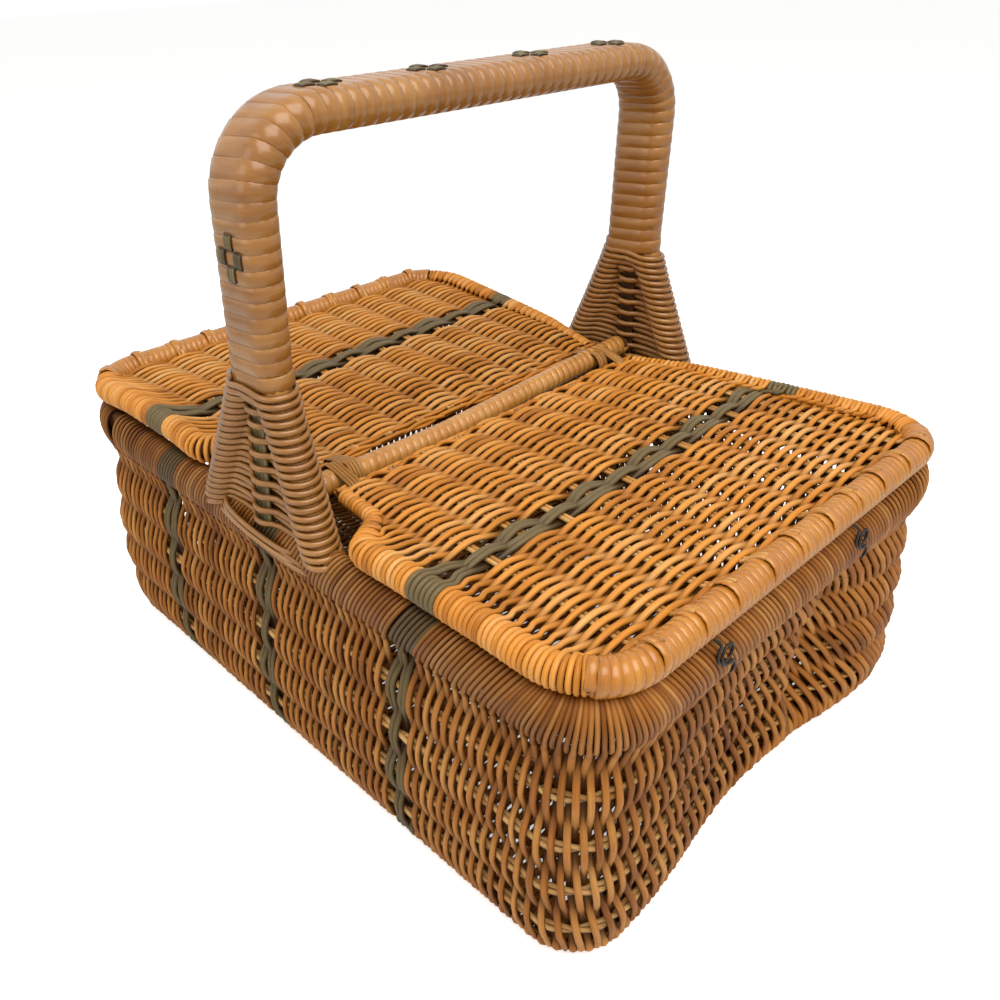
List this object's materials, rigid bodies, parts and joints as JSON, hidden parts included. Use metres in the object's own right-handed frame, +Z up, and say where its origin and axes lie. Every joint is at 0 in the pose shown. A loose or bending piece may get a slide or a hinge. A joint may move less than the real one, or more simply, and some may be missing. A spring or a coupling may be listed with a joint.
{
  "type": "picnic basket",
  "caption": "Rectangular woven cane picnic basket with two flap lids hinged on a bar across the middle and a lashed hoop handle.",
  "frame": {"origin": "on the floor under the middle of the basket", "axes": "+X along the basket from one lid to the other, +Y across it, the handle over X = 0; +Z up"},
  "size_m": [0.433, 0.3182, 0.3512],
  "materials": {
    "wall_cane": "satin",
    "rim_cane": "satin",
    "lid_cane": "satin",
    "lid_rod_cane": "glossy",
    "stake_cane": "satin",
    "handle_cane": "glossy",
    "lashing_cane": "satin",
    "bar_cane": "glossy",
    "dark_cane": "satin",
    "iron_wire": "satin"
  },
  "bodies": {
    "basket": {"woven_body": "wall_cane", "wall_hoop_1": "stake_cane", "wall_hoop_2": "stake_cane", "wall_hoop_3": "stake_cane", "wall_hoop_4": "stake_cane", "floor_stake_1": "stake_cane", "floor_stake_2": "stake_cane", "floor_stake_3": "stake_cane", "floor_stake_4": "stake_cane", "floor_stake_5": "stake_cane", "floor_stake_6": "stake_cane", "floor_stake_7": "stake_cane", "rim_roll": "rim_cane", "hinge_bar": "bar_cane", "wire_curl_1": "iron_wire", "wire_curl_2": "iron_wire", "handle_rod_right": "handle_cane", "handle_rod_left": "handle_cane", "handle_lapping_front": "handle_cane", "handle_lapping_top": "handle_cane", "handle_lapping_back": "handle_cane", "centre_stem_front": "dark_cane", "leg_lashing_front": "lashing_cane", "centre_stem_back": "dark_cane", "leg_lashing_back": "lashing_cane"},
    "right_lid": {"right_lid_frame": "lid_rod_cane", "right_lid_panel": "lid_cane", "right_lid_edge_rod": "lid_cane", "right_lid_stake_1": "stake_cane", "right_lid_stake_2": "stake_cane", "right_lid_stake_3": "stake_cane", "right_lid_stake_4": "stake_cane", "right_lid_stake_5": "stake_cane", "right_lid_stake_6": "stake_cane", "right_lid_stake_7": "stake_cane", "right_lid_stake_8": "stake_cane", "right_lid_stake_9": "stake_cane", "right_lid_stake_10": "stake_cane", "right_hinge_loop_1": "dark_cane", "right_hinge_loop_2": "dark_cane"},
    "left_lid": {"left_lid_frame": "lid_rod_cane", "left_lid_panel": "lid_cane", "left_lid_edge_rod": "lid_cane", "left_lid_stake_1": "stake_cane", "left_lid_stake_2": "stake_cane", "left_lid_stake_3": "stake_cane", "left_lid_stake_4": "stake_cane", "left_lid_stake_5": "stake_cane", "left_lid_stake_6": "stake_cane", "left_lid_stake_7": "stake_cane", "left_lid_stake_8": "stake_cane", "left_lid_stake_9": "stake_cane", "left_lid_stake_10": "stake_cane", "left_hinge_loop_1": "dark_cane", "left_hinge_loop_2": "dark_cane"}
  },
  "joints": [
    {"name": "right_lid_hinge", "type": "hinge", "parent": "basket", "child": "right_lid", "pos_m": [0, 0, 0.161], "axis": [0, -1, 0], "range_deg": [0, 48]},
    {"name": "left_lid_hinge", "type": "hinge", "parent": "basket", "child": "left_lid", "pos_m": [0, 0, 0.161], "axis": [0, 1, 0], "range_deg": [0, 48]}
  ]
}
